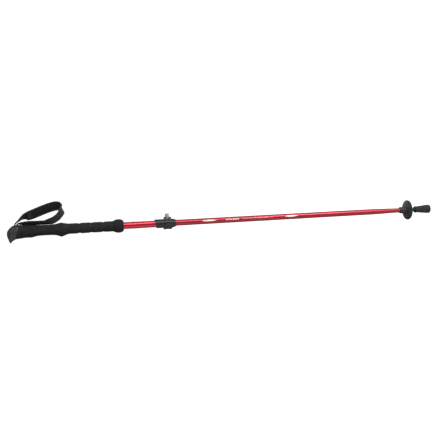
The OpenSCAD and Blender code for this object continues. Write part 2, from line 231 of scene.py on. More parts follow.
def moulded_look(name, color, roughness, gloss=0.0):
    """Plain moulded plastic: fine spark-eroded grain, cloudy sheen and paler worn edges."""
    look = Look(name, color, roughness, Specular_IOR_Level=0.36, Coat_Weight=gloss, Coat_Roughness=0.22)
    place = look.place()
    cloud = look.noise(place, 9 * MM)
    grain = look.noise(place, 0.3 * MM, 2.0)
    paler = tuple(c * 2.4 + 0.01 for c in color)
    look.tint(look.math("MULTIPLY", look.edges(), 0.55), paler)
    look.tint(look.spread(cloud, 0.4, 0.8, 0.0, 0.35), tuple(c * 1.5 for c in color))
    look.roughen(look.spread(cloud, 0.3, 0.7, roughness - 0.07, roughness + 0.08))
    look.bump(grain, 0.03 * MM, 0.5)
    return look.material


def rubber_look():
    look = Look("rubber", (0.014, 0.014, 0.0155), 0.7, Specular_IOR_Level=0.35)
    place = look.place()
    cloud = look.noise(place, 7 * MM)
    grain = look.noise(place, 0.5 * MM, 3.0)
    height = look.node("SeparateXYZ", Vector=look.place()).outputs["Z"]
    scuffed = look.math("MULTIPLY", look.spread(height, 0.0, 9 * MM, 1.0, 0.0), look.spread(cloud, 0.42, 0.6))
    look.tint(look.math("MULTIPLY", scuffed, 0.55), (0.075, 0.070, 0.064))
    look.tint(look.math("MULTIPLY", look.edges(), 0.35), (0.05, 0.05, 0.052))
    look.roughen(look.spread(cloud, 0.3, 0.7, 0.62, 0.82))
    look.bump(grain, 0.06 * MM, 0.6)
    return look.material


def red_look(name, color, roughness, coat, streak):
    """Anodised aluminium tube: drawn streaks under the colour, a clear surface and light handling marks."""
    look = Look(name, color, roughness, Metallic=0.85, Coat_Weight=coat, Coat_Roughness=0.08)
    look.set(Specular_Tint=(0.4, 0.02, 0.05, 1))
    drawn = look.noise(look.place((1, 1, 0.02)), 0.5 * MM, 3.0)
    cloud = look.noise(look.place((1, 1, 0.3)), 18 * MM)
    nicks = look.cells(look.place((1, 1, 0.12)), 5 * MM)
    look.tint(look.spread(drawn, 0.35, 0.7, 0.0, streak), tuple(c * 0.72 for c in color))
    look.tint(look.spread(cloud, 0.45, 0.75, 0.0, 0.18), tuple(min(1, c * 1.25 + 0.01) for c in color))
    look.tint(look.spread(nicks, 0.012, 0.03, 0.3, 0.0), (0.65, 0.35, 0.37))
    look.roughen(look.spread(drawn, 0.3, 0.7, roughness - 0.05, roughness + 0.07))
    look.bump(drawn, 0.012 * MM, 0.5)
    return look.material


def metal_look(name, color, roughness, stretch):
    """Turned or ground metal, its fine lines drawn out along the directions with a small stretch."""
    look = Look(name, color, roughness, Metallic=1.0)
    lines = look.noise(look.place(stretch), 0.25 * MM, 3.0)
    cloud = look.noise(look.place(), 4 * MM)
    look.tint(look.spread(cloud, 0.4, 0.75, 0.0, 0.4), tuple(c * 0.7 for c in color))
    look.roughen(look.spread(lines, 0.3, 0.7, roughness - 0.08, roughness + 0.12))
    look.bump(lines, 0.015 * MM, 0.6)
    return look.material


def woven(look, across, along, pitch_across, pitch_along):
    """Height of a plain weave, from 0 to 1, on a band whose across and along are in millimetres."""
    warp = look.math("SINE", look.math("MULTIPLY", across, TAU / pitch_across))
    weft = look.math("SINE", look.math("MULTIPLY", along, TAU / pitch_along))
    crossed = look.math("MULTIPLY", warp, weft)
    return look.math("MULTIPLY_ADD", crossed, 0.5, 0.5)


def webbing_look():
    look = Look("webbing", (0.011, 0.011, 0.012), 0.78, Specular_IOR_Level=0.3)
    look.set(Sheen_Weight=0.05, Sheen_Roughness=0.5)
    parts = look.node("SeparateXYZ", Vector=look.attribute("cloth"))
    across, along = parts.outputs["X"], parts.outputs["Y"]
    weave = woven(look, across, along, 1.4, 1.1)
    ribs = look.math("SINE", look.math("MULTIPLY", along, TAU / 1.1))
    fuzz = look.noise(look.place(), 0.35 * MM, 3.0)
    worn = look.noise(look.place(), 14 * MM)
    selvedge = look.spread(look.math("ABSOLUTE", across), WEB_WIDTH / 2 - 1.8, WEB_WIDTH / 2 - 1.3)
    # Painted light: the weave's raised crossings, which the bump below lifts, are painted paler as a highlight
    # on them, and the hollows between them stay darker as painted shade.
    look.tint(look.spread(weave, 0.25, 0.9, 0.0, 0.75), (0.034, 0.034, 0.037))
    look.tint(look.math("MULTIPLY", selvedge, 0.5), (0.007, 0.007, 0.008))
    look.tint(look.spread(worn, 0.45, 0.75, 0.0, 0.35), (0.040, 0.040, 0.043))
    look.roughen(look.spread(fuzz, 0.3, 0.7, 0.62, 0.85))
    look.bump(look.math("MULTIPLY_ADD", ribs, 0.5, 0.5), 0.14 * MM, 0.6)
    look.bump(weave, 0.16 * MM, 0.8)
    look.bump(fuzz, 0.05 * MM, 0.5)
    return look.material


def lining_look():
    """The pad's face: close knitted cloth over foam."""
    look = Look("padding", (0.0045, 0.0052, 0.0068), 0.84, Specular_IOR_Level=0.16)
    look.set(Sheen_Weight=0.03, Sheen_Roughness=0.45)
    parts = look.node("SeparateXYZ", Vector=look.attribute("cloth"))
    across, along = parts.outputs["X"], parts.outputs["Y"]
    slant = look.math("ADD", across, along)
    counter = look.math("SUBTRACT", across, along)
    knit = woven(look, slant, counter, 1.3, 1.3)
    fuzz = look.noise(look.place(), 0.4 * MM, 3.0)
    patches = look.noise(look.place(), 11 * MM)
    # Painted light: the knit's raised loops, which the bump below lifts, are painted paler as a highlight on
    # them, and the hollows between them stay darker as painted shade.
    look.tint(look.spread(knit, 0.3, 0.9, 0.0, 0.7), (0.010, 0.012, 0.015))
    look.tint(look.spread(patches, 0.45, 0.75, 0.0, 0.3), (0.013, 0.015, 0.018))
    look.roughen(look.spread(fuzz, 0.3, 0.7, 0.72, 0.92))
    look.bump(knit, 0.14 * MM, 0.7)
    look.bump(fuzz, 0.05 * MM, 0.5)
    return look.material


def thread_look():
    look = Look("thread", (0.085, 0.090, 0.100), 0.6, Sheen_Weight=0.2, Sheen_Roughness=0.4)
    twist = look.noise(look.place(), 0.3 * MM, 2.0)
    look.tint(look.spread(twist, 0.35, 0.65, 0.0, 0.7), (0.045, 0.048, 0.055))
    look.bump(twist, 0.08 * MM, 0.7)
    return look.material


def ink_look():
    look = Look("white_print", (0.80, 0.80, 0.79), 0.4, Coat_Weight=0.4, Coat_Roughness=0.15)
    wear = look.noise(look.place((1, 1, 0.4)), 2.5 * MM, 5.0)
    look.tint(look.spread(wear, 0.60, 0.72, 0.0, 0.6), (0.62, 0.22, 0.26))
    look.roughen(look.spread(wear, 0.3, 0.7, 0.32, 0.5))
    look.bump(wear, 0.01 * MM, 0.4)
    return look.material


def floor_look():
    """Pale floor that looks as white as the room and throws back a dimmer light."""
    look = Look("studio_floor", (0.6, 0.6, 0.6), 0.7, Emission_Color=(1, 1, 1, 1))
    grain = look.noise(look.place(), 30 * MM)
    look.tint(look.spread(grain, 0.3, 0.7, 0.0, 0.4), (0.58, 0.58, 0.585))
    seen = look.node("LightPath").outputs["Is Camera Ray"]
    look.tree.links.new(look.spread(seen, 0, 1, 0.25, 1.0), look.shader.inputs["Emission Strength"])
    return look.material


# ---- building meshes ----

def piece(name, points, faces, material, body):
    """A smooth-shaded mesh that rides on a body."""
    mesh = bpy.data.meshes.new(name)
    mesh.from_pydata([tuple(p) for p in points], [], faces)
    mesh.update()
    mesh.shade_smooth()
    made = bpy.data.objects.new(name, mesh)
    bpy.context.scene.collection.objects.link(made)
    made.data.materials.append(material)
    if body:
        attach(made, body)
    return made


def tidy(made):
    """Joins doubled points and turns every face outwards."""
    work = bmesh.new()
    work.from_mesh(made.data)
    bmesh.ops.remove_doubles(work, verts=work.verts, dist=0.002 * MM)
    bmesh.ops.dissolve_degenerate(work, edges=work.edges, dist=0.0005 * MM)
    bmesh.ops.recalc_face_normals(work, faces=work.faces)
    work.to_mesh(made.data)
    work.free()
    made.data.shade_smooth()
    return made


def settle(made):
    """Applies an object's modifiers."""
    graph = bpy.context.evaluated_depsgraph_get()
    graph.update()
    mesh = bpy.data.meshes.new_from_object(made.evaluated_get(graph))
    made.modifiers.clear()
    made.data = mesh
    made.data.shade_smooth()
    return made


def remeshed(made, voxel, rounds=4):
    """Fuses the piece's closed shells into one skin and softens its edges."""
    skin = made.modifiers.new("skin", "REMESH")
    skin.mode = "VOXEL"
    skin.voxel_size = voxel
    skin.adaptivity = 0.0
    soften = made.modifiers.new("soften", "SMOOTH")
    soften.factor = 0.5
    soften.iterations = rounds
    return settle(made)


def cut(made, tool):
    """Takes the closed mesh tool out of the piece."""
    knife = made.modifiers.new("cut", "BOOLEAN")
    knife.operation = "DIFFERENCE"
    knife.solver = "EXACT"
    knife.object = tool
    settle(made)
    bpy.data.objects.remove(tool)
    return made


def tube_faces(rings, sides):
    """Faces between rings of sides points each, closed round."""
    return [
        (k * sides + i, k * sides + (i + 1) % sides, (k + 1) * sides + (i + 1) % sides, (k + 1) * sides + i)
        for k in range(rings - 1) for i in range(sides)
    ]


def capped(rings, sides):
    """Faces of a tube with both ends closed."""
    last = (rings - 1) * sides
    ends = [tuple(range(sides - 1, -1, -1)), tuple(range(last, last + sides))]
    return tube_faces(rings, sides) + ends


def looped(rings, sides):
    """Faces of a tube whose last ring is joined to its first."""
    last = (rings - 1) * sides
    closing = [(last + i, last + (i + 1) % sides, (i + 1) % sides, i) for i in range(sides)]
    return tube_faces(rings, sides) + closing


def lathe(name, outline, sides, material, body, relief=None):
    """Turns a closed outline of (radius, height) round the pole; relief(angle, r, z) shifts the radius."""
    points = []
    for r, z in outline:
        for i in range(sides):
            a = TAU * i / sides
            shifted = r + (relief(a, r, z) if relief and r > 0 else 0)
            points.append((shifted * math.cos(a), shifted * math.sin(a), z))
    return tidy(piece(name, points, looped(len(outline), sides), material, body))


def divided(outline, step):
    """A closed outline with points added, so that none are further apart than step."""
    made = []
    for i, point in enumerate(outline):
        here, after = Vector(point), Vector(outline[(i + 1) % len(outline)])
        count = max(1, math.ceil((after - here).length / step))
        made += [tuple(here.lerp(after, k / count)) for k in range(count)]
    return made


def block(low, high):
    """Points and faces of a box, for cutting and fusing."""
    points = [(x, y, z) for z in (low[2], high[2]) for y in (low[1], high[1]) for x in (low[0], high[0])]
    faces = [(0, 2, 3, 1), (4, 5, 7, 6), (0, 1, 5, 4), (2, 6, 7, 3), (0, 4, 6, 2), (1, 3, 7, 5)]
    return points, faces


def rod(start, end, radius, sides=32):
    """Points and faces of a closed rod between two points."""
    start, end = Vector(start), Vector(end)
    turn = (end - start).to_track_quat("Z", "Y")
    points = []
    for middle in (start, end):
        for i in range(sides):
            a = TAU * i / sides
            points.append(tuple(middle + turn @ Vector((radius * math.cos(a), radius * math.sin(a), 0))))
    return points, capped(2, sides)


def tool(shape):
    points, faces = shape
    mesh = bpy.data.meshes.new("tool")
    mesh.from_pydata(points, [], faces)
    made = bpy.data.objects.new("tool", mesh)
    bpy.context.scene.collection.objects.link(made)
    return made


def copy_of(name, node, material, body, extra=()):
    """A new piece that starts from a CAD node's shape, with more closed shapes laid into it."""
    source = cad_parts[node].data
    points = [tuple(v.co) for v in source.vertices]
    faces = [tuple(p.vertices) for p in source.polygons]
    for more_points, more_faces in extra:
        base = len(points)
        points += more_points
        faces += [tuple(base + i for i in face) for face in more_faces]
    made = piece(name, points, faces, material, None)
    tidy(made)
    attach(made, body)
    return made


# ---- grip ----

def smooth_steps(values, xs):
    """Slopes at the points of a curve that passes through them and never overshoots."""
    gaps = [(values[i + 1] - values[i]) / (xs[i + 1] - xs[i]) for i in range(len(xs) - 1)]
    slopes = [gaps[0]]
    for before, after in zip(gaps, gaps[1:]):
        slopes.append(0 if before * after <= 0 else 2 * before * after / (before + after))
    return slopes + [gaps[-1]]


def through(xs, values, x):
    """Height at x of the smooth curve through the points."""
    slopes = smooth_steps(values, xs)
    i = max(k for k in range(len(xs) - 1) if xs[k] <= x or k == 0)
    width = xs[i + 1] - xs[i]
    t = (x - xs[i]) / width
    return (
        (1 + 2 * t) * (1 - t) ** 2 * values[i] + t * (1 - t) ** 2 * width * slopes[i]
        + t * t * (3 - 2 * t) * values[i + 1] - t * t * (1 - t) * width * slopes[i + 1]
    )


def hand_body(name, material):
    """The whole grip, head and foam together, before the seam parts them."""
    sides = 112
    depths = [row[0] for row in HAND]
    columns = [[row[k] for row in HAND] for k in (1, 2, 3)]
    levels = [0.3 + 0.35 * k for k in range(30)] + [10.9 + 1.1 * k for k in range(126)] + [depths[-1]]
    points = []
    for depth in [d for d in levels if d <= depths[-1]]:
        front, back, share = (through(depths, column, depth) for column in columns)
        middle, reach = (back - front) / 2, (back + front) / 2
        for i in range(sides):
            a = TAU * i / sides
            points.append((
                (middle + reach * math.cos(a)) * MM,
                share * HAND_HALF * math.sin(a),
                z_at(depth),
            ))
    rings = len(points) // sides
    return tidy(piece(name, points, capped(rings, sides), material, None))


def part_at_seam(made, keep_above, gap):
    """Keeps one side of the slanted seam."""
    normal = Vector((math.sin(SEAM_TILT), 0, math.cos(SEAM_TILT)))
    middle = Vector((0, 0, z_at(SEAM_DEPTH))) + normal * gap
    work = bmesh.new()
    work.from_mesh(made.data)
    everything = list(work.verts) + list(work.edges) + list(work.faces)
    bmesh.ops.bisect_plane(
        work, geom=everything, plane_co=middle, plane_no=normal,
        clear_inner=keep_above, clear_outer=not keep_above,
    )
    rim = [e for e in work.edges if e.is_boundary]
    bmesh.ops.holes_fill(work, edges=rim, sides=0)
    bmesh.ops.recalc_face_normals(work, faces=work.faces)
    work.to_mesh(made.data)
    work.free()
    return made


def add_head(material):
    head = part_at_seam(hand_body("head", material), True, 0.1 * MM)
    half_slot = (WEB_WIDTH / 2 + 1.2) * MM
    half_tall = 3.6 * MM
    slot = block((2.2 * MM, -half_slot, SLOT_Z - half_tall), (40 * MM, half_slot, SLOT_Z + half_tall))
    cut(head, tool(slot))
    cut(head, tool(rod((PIN_X, -0.03, SLOT_Z), (PIN_X, 0.03, SLOT_Z), 1.75 * MM)))
    remeshed(head, 0.38 * MM, 5)
    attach(head, "upper")
    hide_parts("head_cap")
    return head


def add_foam_grip(material):
    foam = part_at_seam(hand_body("foam_handle", material), False, -0.1 * MM)
    remeshed(foam, 0.6 * MM, 4)
    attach(foam, "upper")
    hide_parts("foam_grip")
    return foam


def sleeve_outline():
    """Half section of the foam sleeve: a rolled upper lip, three soft grooves and the end bulb."""
    top, end = SLEEVE_HIGH.z, SLEEVE_LOW.z
    length = top - end
    plain_r = 13.4 * MM
    lip_size = 0.9 * MM
    bulb_r = SLEEVE_HIGH.x
    bulb_end_r = 10.8 * MM
    bulb_z = end + 13 * MM
    bulb_rise = 14 * MM
    inner = UPPER_R + 0.05 * MM
    outline = [(inner, top + lip_size), (plain_r - 0.7 * MM, top + lip_size)]
    steps = 260
    for k in range(steps + 1):
        z = top - length * k / steps
        depth = (HEAD_TOP - z) / MM
        r = plain_r
        for groove in (177, 207, 237):
            off = abs(depth + 0.3 - groove) / 6
            if off < 1:
                r -= 1.2 * MM * math.cos(off * TAU / 4) ** 2
        lip = (top - z) / lip_size
        if lip < 1:
            r -= 0.6 * MM * (1 - math.sqrt(max(0, 1 - (1 - lip) ** 2)))
        if z < bulb_z + bulb_rise:
            risen = min(1, (bulb_z + bulb_rise - z) / bulb_rise)
            r = plain_r + (bulb_r - plain_r) * math.sin(TAU / 4 * risen)
        if z < bulb_z:
            share = min(1, (bulb_z - z) / (13.4 * MM))
            r = bulb_end_r + (bulb_r - bulb_end_r) * math.sqrt(1 - share ** 2)
        outline.append((r, z))
    outline += [(UPPER_R + 0.9 * MM, end), (inner, end + 0.6 * MM)]
    return outline


def add_sleeve(material):
    sleeve = lathe("foam_sleeve_skin", sleeve_outline(), 128, material, "upper")
    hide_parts("foam_sleeve")
    return sleeve


# ---- strap ----

def station(i):
    return STRAP[max(0, min(len(STRAP) - 1, i))]


def strap_row(t):
    """The strap's row at station t, on a smooth curve through the stations."""
    i = math.floor(t)
    f = t - i
    rows = (station(i - 1), station(i), station(i + 1), station(i + 2))
    return [
        0.5 * (2 * b + (c - a) * f + (2 * a - 5 * b + 4 * c - d) * f * f + (3 * b - a - 3 * c + d) * f ** 3)
        for a, b, c, d in zip(*rows)
    ]


def strap_point(t):
    x, y, depth, _, _ = strap_row(t)
    return Vector((x * MM, y * MM, z_at(depth)))


def strap_frame(t):
    """Middle, direction along, direction across, and direction to the loop's inside, at station t."""
    _, _, _, twist, lean = strap_row(t)
    along = (strap_point(t + 0.05) - strap_point(t - 0.05)).normalized()
    turn = math.radians(twist)
    wide = Vector((-math.sin(turn), math.cos(turn), lean))
    across = (wide - wide.dot(along) * along).normalized()
    return strap_point(t), along, across, along.cross(across)


def loop_frames(first, last, spacing):
    """Frames at an even spacing along the loop, with how far along each one lies."""
    fine = 0.01
    frames, travelled, wanted = [], 0.0, 0.0
    t, here = first, strap_point(first)
    while t <= last + 1e-9:
        if travelled >= wanted:
            frames.append((travelled, strap_frame(t)))
            wanted += spacing
        ahead = strap_point(t + fine)
        travelled += (ahead - here).length
        t, here = t + fine, ahead
    return frames


def pin_frames(spacing):
    """Frames of the webbing inside the head: in by the lower lane, round the pin, out by the upper one."""
    lane = strap_row(0)[2] - (HEAD_TOP - SLOT_Z) / MM - HAND[0][0]
    bend = lane * MM
    mouth = STRAP[0][0] * MM
    across = Vector((0, 1, 0))
    frames = []
    straight = mouth - PIN_X
    for k in range(math.ceil(straight / spacing)):
        x = mouth - k * spacing
        frames.append((Vector((x, 0, SLOT_Z - bend)), Vector((-1, 0, 0)), across, Vector((0, 0, 1))))
    turns = max(12, math.ceil(math.pi * bend / spacing))
    for k in range(turns + 1):
        a = -TAU / 4 - math.pi * k / turns
        out = Vector((math.cos(a), 0, math.sin(a)))
        frames.append((Vector((PIN_X, 0, SLOT_Z)) + out * bend, Vector((out.z, 0, -out.x)), across, -out))
    for k in range(1, math.ceil(straight / spacing)):
        x = PIN_X + k * spacing
        frames.append((Vector((x, 0, SLOT_Z + bend)), Vector((1, 0, 0)), across, Vector((0, 0, -1))))
    return frames


def rounded_strip(width, thick, steps=9):
    """Cross-section of a flat band with round edges: (across, outwards) pairs round it."""
    half, bend = width / 2, thick / 2
    section = []
    for side in (1, -1):
        section += [(side * (half - bend) * (2 * k / steps - 1), side * bend) for k in range(steps + 1)]
        for k in range(1, 6):
            a = TAU * k / 12
            section.append((side * (half - bend + bend * math.sin(a)), side * bend * math.cos(a)))
    return section


def write_cloth(made, values):
    """Keeps each point's place on the flat band, in millimetres, for the weave."""
    layer = made.data.attributes.new("cloth", "FLOAT_VECTOR", "POINT")
    layer.data.foreach_set("vector", [c for value in values for c in value])


def add_webbing(material):
    """The loop and its turn round the pin, which bend into each other at the slot's mouth."""
    section = rounded_strip(WEB_WIDTH * MM, WEB_THICK * MM)
    spacing = 0.36 * MM
    loop = [f for _, f in loop_frames(0, len(STRAP) - 1, spacing)]
    rings = [(middle, across, inside) for middle, _, across, inside in loop]
    rings += [(middle, across, -inside) for middle, _, across, inside in reversed(pin_frames(spacing))]
    selvedge = (WEB_WIDTH / 2 - 1.5) * MM
    points, cloth = [], []
    for k, (middle, across, inside) in enumerate(rings):
        rib = 0.06 * MM * math.cos(TAU * k * spacing / (1.08 * MM))
        for u, v in section:
            proud = rib if abs(v) > 0.3 * MM and abs(u) < selvedge else 0
            points.append(middle + across * u + inside * (v + math.copysign(proud, v)))
            cloth.append((u / MM, k * spacing / MM, v / MM))
    strap = piece("wrist_webbing", points, looped(len(rings), len(section)), material, None)
    write_cloth(strap, cloth)
    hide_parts("strap_webbing", "strap_tail")
    # The line leans down the pole, so the strand that lies along the grip is past its end.
    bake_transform(strap)
    return strap


def pad_offset():
    return (WEB_THICK / 2 + PAD_THICK / 2) * MM


def pad_section(swell, narrow):
    """The pad's cross-section: a crowned middle between two thin bound edges."""
    half = PAD_WIDTH / 2 * narrow
    seam = half - 2.6
    section = []
    count = 22
    for face in (1, -1):
        for k in range(count + 1):
            u = face * (-half + 2 * half * k / count)
            crown = PAD_THICK / 2 * (0.78 + 0.22 * math.cos(u / half * TAU / 4))
            channel = 0.55 * math.exp(-((abs(u) - seam) / 0.55) ** 2)
            edge = max(0.0, 1 - ((abs(u) - seam) / (half - seam)) ** 2.2) if abs(u) > seam else 1.0
            v = (0.45 + (crown - 0.45) * edge ** 0.5) * swell - (channel if face > 0 else channel * 0.5)
            section.append((u * MM, face * max(0.12, v) * MM))
    return section


def add_pad(material):
    frames = loop_frames(PAD_FROM, PAD_TO, 0.5 * MM)
    length = frames[-1][0]
    points, cloth = [], []
    for travelled, (middle, along, across, inside) in frames:
        end = min(travelled, length - travelled) / (3.2 * MM)
        swell = math.sqrt(max(0.03, 1 - (1 - min(1, end)) ** 2))
        narrow = 0.93 + 0.07 * min(1, end) ** 0.5
        for u, v in pad_section(swell, narrow):
            points.append(middle + inside * (pad_offset() + v) + across * u)
            cloth.append((u / MM, travelled / MM, v / MM))
    sides = len(pad_section(1, 1))
    pad = piece("wrist_pad", points, capped(len(frames), sides), material, "strap")
    write_cloth(pad, cloth)
    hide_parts("strap_pad")
    return pad


def stitch(points, faces, start, end, out, radius):
    """One stitch between two points, arched outwards, its ends sunk into the cloth."""
    sides, steps = 6, 5
    along = (end - start).normalized()
    side = along.cross(out).normalized()
    base = len(points)
    for k in range(steps + 1):
        t = k / steps
        middle = start.lerp(end, t) + out * radius * (2.2 * math.sin(math.pi * t) - 1.1)
        for i in range(sides):
            a = TAU * i / sides
            points.append(middle + (out * math.sin(a) + side * math.cos(a)) * radius)
    faces += [tuple(base + i for i in face) for face in capped(steps + 1, sides)]


def stitched_line(points, faces, places, length, gap, radius=0.26 * MM):
    """Stitches along a line of (point, outwards) places that lie close together."""
    travelled, start = 0.0, 0
    for k in range(1, len(places)):
        travelled += (places[k][0] - places[k - 1][0]).length
        if travelled >= length and start is not None:
            stitch(points, faces, places[start][0], places[k][0], places[k][1], radius)
            travelled, start = -gap, None
        if start is None and travelled >= 0:
            travelled, start = 0.0, k


def face_place(frame_at, u, height):
    middle, _, across, inside = frame_at
    return middle + across * u + inside * height, inside if height > 0 else -inside


def add_stitching(material):
    """Two rows along the pad, on its face and on the webbing behind, and a lattice where the pad begins."""
    points, faces = [], []
    frames = [f for _, f in loop_frames(PAD_FROM + 0.15, PAD_TO - 0.15, 0.25 * MM)]
    seam = (PAD_WIDTH / 2 - 2.6) * MM
    face = pad_offset() + (PAD_THICK / 2 * 0.74) * MM
    for u in (-seam, seam):
        stitched_line(points, faces, [face_place(f, u, face) for f in frames], 2.2 * MM, 0.7 * MM)
    back = -(WEB_THICK / 2 + 0.04) * MM
    for u in (-7.4 * MM, 7.4 * MM):
        stitched_line(points, faces, [face_place(f, u, back) for f in frames], 2.2 * MM, 0.7 * MM)
    lattice = [f for _, f in loop_frames(21.0, 22.25, 0.2 * MM)]
    span = len(lattice) - 1
    half = 8.4 * MM
    crown = pad_offset() + PAD_THICK / 2 * 0.93 * MM
    for direction in (-1, 1):
        for lane in range(-3, 8):
            places = []
            for k, f in enumerate(lattice):
                u = direction * (k * 0.2 * MM * 1.05 - lane * 3.4 * MM)
                if abs(u) <= half:
                    lift = crown + 0.10 * MM - 0.22 * PAD_THICK / 2 * MM * (1 - math.cos(u / half * TAU / 4))
                    places.append(face_place(f, u, lift))
            stitched_line(points, faces, places, 1.6 * MM, 0.4 * MM, 0.22 * MM)
    made = piece("strap_stitching", points, faces, material, "strap")
    return made


# ---- clamp ----

def add_collar(material):
    """The clamp's body, with two low ribs round it."""
    rings = []
    for rise, tall in ((44, 1.4), (29.5, 1.2)):
        z = COLLAR_BASE + rise * MM
        rings.append(ring_shape(COLLAR_R - 1 * MM, COLLAR_R + 0.35 * MM, z, z + tall * MM))
    body = copy_of("clamp_body", "clamp_collar", material, "upper", rings)
    remeshed(body, 0.34 * MM, 3)
    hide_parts("clamp_collar")
    return body


def ring_shape(inner, outer, low, high, sides=96):
    """Points and faces of a plain closed ring round the pole."""
    outline = [(inner, low), (outer, low), (outer, high), (inner, high)]
    turns = [(math.cos(TAU * i / sides), math.sin(TAU * i / sides)) for i in range(sides)]
    points = [(r * x, r * y, z) for r, z in outline for x, y in turns]
    return points, looped(len(outline), sides)


def add_lever(material):
    """The lever, with finger ridges along its free end."""
    low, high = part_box("clamp_lever")
    margin = 5.5 * MM
    ridges = []
    for k in range(5):
        a = math.radians(252 + 6 * k)
        reach = (14.75 - 0.12 * k) * MM
        x, y = reach * math.cos(a), reach * math.sin(a)
        ridges.append(rod((x, y, low.z + margin), (x, y, high.z - margin), 0.55 * MM, 16))
    lever = copy_of("clamp_handle", "clamp_lever", material, "lever", ridges)
    remeshed(lever, 0.28 * MM, 3)
    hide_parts("clamp_lever")
    return lever


# ---- tip ----

RIM_Z = 69.5
PLATE_HALF = 1.1


def basket_outline():
    """Half section of the basket: hub, dished top, beaded rim and hollow underside."""
    top, low = BASKET_HIGH.z, BASKET_LOW.z
    hub = 9.4 * MM
    bore = 6.7 * MM
    rim = RIM_Z * MM
    half = PLATE_HALF * MM
    outline = [
        (bore, low), (bore, top - 0.5 * MM), (bore + 0.5 * MM, top), (hub - 0.5 * MM, top),
        (hub, top - 0.6 * MM), (hub, 90.6 * MM), (hub - 0.45 * MM, 90 * MM),
        (hub - 0.45 * MM, 88.9 * MM), (hub, 88.3 * MM), (hub, 80 * MM),
    ]
    for k in range(25):
        r = (9.9 + (27.2 - 9.9) * k / 24) * MM
        outline.append((r, plate(r) + half))
    outline += [
        (27.9 * MM, rim + 1.5 * MM), (BASKET_R - 0.2 * MM, rim + 1.1 * MM), (BASKET_R, rim),
        (BASKET_R - 0.3 * MM, rim - 1.5 * MM), (27.5 * MM, rim - 1.9 * MM), (26.9 * MM, rim - 1.2 * MM),
    ]
    for k in range(24, -1, -1):
        r = (10.0 + (26.6 - 10.0) * k / 24) * MM
        outline.append((r, plate(r) - half))
    outline += [(hub, 72.6 * MM), (hub - 0.7 * MM, low + 0.6 * MM), (hub - 1.1 * MM, low)]
    return outline


def plate(r):
    """Height of the middle of the basket's plate at a radius."""
    share = max(0.0, (r / MM - 10.4) / 18.1)
    return (RIM_Z + 6.5 * (1 - share ** 1.5)) * MM


def add_basket(material):
    turned = lathe("turned", basket_outline(), 144, material, None)
    points = [tuple(v.co) for v in turned.data.vertices]
    faces = [tuple(p.vertices) for p in turned.data.polygons]
    bpy.data.objects.remove(turned)
    rib_points, rib_faces = basket_ribs()
    faces += [tuple(len(points) + i for i in face) for face in rib_faces]
    basket = piece("snow_basket", points + rib_points, faces, material, "basket")
    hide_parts("basket")
    return basket


def basket_ribs():
    """Ribs under the plate and low ones on top of it, and grip lugs round the hub."""
    points, faces = [], []

    def add(profile, angle, half):
        base = len(points)
        count = len(profile)
        turn = Matrix.Rotation(angle, 3, "Z")
        for side in (-half, half):
            points.extend(tuple(turn @ Vector((r, side, z))) for r, z in profile)
        faces.append(tuple(base + i for i in range(count)))
        faces.append(tuple(base + count + i for i in range(count - 1, -1, -1)))
        for i in range(count):
            j = (i + 1) % count
            faces.append((base + i, base + count + i, base + count + j, base + j))

    under = [9.0 + 1.6 * k for k in range(12)]
    lower = [(r * MM, plate(r * MM) - (1.0 + 1.5 * (1 - (r - 9) / 18)) * MM) for r in under]
    upper = [(r * MM, plate(r * MM) - 0.7 * MM) for r in reversed(under)]
    above = [13.0 + 1.3 * k for k in range(11)]
    ridge = [
        (r * MM, plate(r * MM) + (1.1 + 0.35 * math.sin(math.pi * (r - 13) / 13)) * MM) for r in above
    ]
    root = [(r * MM, plate(r * MM) + 0.8 * MM) for r in reversed(above)]
    for k in range(12):
        add(lower + upper, TAU * k / 12, 0.5 * MM)
        add(ridge + root, TAU * (k + 0.5) / 12, 0.4 * MM)
    lug = [(9.0 * MM, 80.5 * MM), (9.9 * MM, 80.5 * MM), (9.95 * MM, 86.6 * MM), (9.0 * MM, 87.4 * MM)]
    for k in range(18):
        add(lug, TAU * k / 18, 0.55 * MM)
    return points, faces


def foot_relief(angle, r, z):
    """Lengthwise flutes up the foot's side."""
    if r < FOOT_R * 0.55 or not 9 * MM < z < 37 * MM:
        return 0
    fade = min(1, (z - 9 * MM) / (4 * MM), (37 * MM - z) / (3 * MM))
    wave = max(0, math.cos(angle * 20)) ** 3
    return -0.55 * MM * fade * wave


def add_foot(material):
    r = FOOT_R / MM
    low, high = FOOT_LOW.z / MM, FOOT_HIGH.z / MM
    lip_r = 9.7
    sole_r = 6.6
    rounding = 2.0
    outer = [(0.0, low + 1.2), (sole_r - 0.4, low + 1.2), (sole_r, low + 0.1), (r - rounding, low)]
    for k in range(1, 5):
        a = TAU * k / 16
        outer.append((r - rounding + rounding * math.sin(a), low + rounding - rounding * math.cos(a)))
    outer += [(r, 6.4), (r - 0.25, 6.9), (r - 0.35, 7.3), (r - 0.1, 7.8), (r - 0.2, 9)]
    outer += [(r - 0.7 - (r - 0.7 - 9.9) * k / 12, 15 + 16 * k / 12) for k in range(13)]
    outer += [(9.35, 36), (9.1, high - 5.2), (9.15, high - 4.4)]
    outer += [(lip_r, high - 3.7), (lip_r, high - 1.0), (9.2, high - 0.1)]
    inner = [(6.1, high), (5.7, high - 0.6), (4.6, 26), (4.4, 24), (4.4, 8.2), (0.0, 8.0)]
    outline = [(x * MM, z * MM) for x, z in outer + inner]
    foot = lathe("tip_foot", divided(outline, 1.0 * MM), 160, material, None, foot_relief)
    for k in range(12):
        groove(foot, TAU * k / 12)
    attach(foot, "foot")
    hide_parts("rubber_foot")
    return foot


def groove(foot, angle):
    """A radial tread groove in the foot's sole."""
    turn = Matrix.Rotation(angle, 3, "Z")
    points, faces = block((5.6 * MM, -0.7 * MM, -1 * MM), (FOOT_R + 1 * MM, 0.7 * MM, 1.1 * MM))
    cut(foot, tool(([tuple(turn @ Vector(p)) for p in points], faces)))


# ---- printed marks ----

